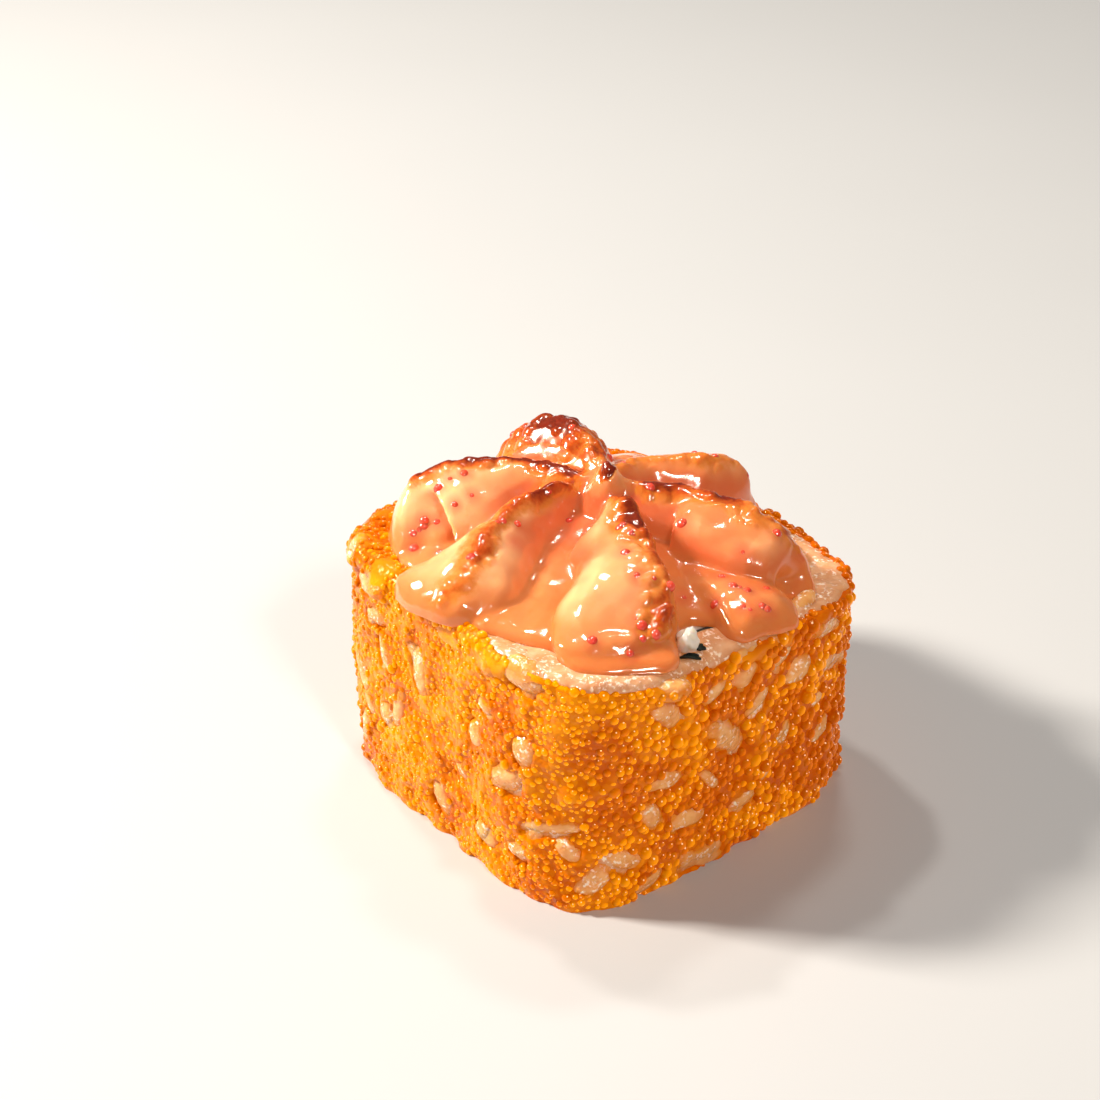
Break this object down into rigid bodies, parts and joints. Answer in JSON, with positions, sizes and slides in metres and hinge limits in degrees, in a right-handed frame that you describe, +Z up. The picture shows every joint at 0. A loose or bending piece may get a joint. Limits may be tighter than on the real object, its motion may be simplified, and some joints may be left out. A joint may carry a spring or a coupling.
{
  "type": "baked california roll",
  "caption": "Square piece of inside-out sushi: rice coated in orange fish roe round nori and a white filling, under a piped rosette of baked creamy sauce with red roe.",
  "frame": {"origin": "centre of the base, on the surface the roll stands on", "axes": "+Z up; the sides of the square face along X and Y; the corner between the -X and -Y sides is the one nearest the camera in the picture"},
  "size_m": [0.0384, 0.039, 0.0312],
  "materials": {
    "rice_and_roe": "moist translucent rice under small glossy orange roe",
    "nori": "black dried seaweed, matt",
    "filling": "white and creamy, soft sheen",
    "sauce": "glossy peach sauce, browned along the crests"
  },
  "bodies": {
    "root": {"rice": "rice_and_roe", "nori": "nori", "creamy_filling": "filling", "sauce": "sauce"}
  },
  "joints": []
}
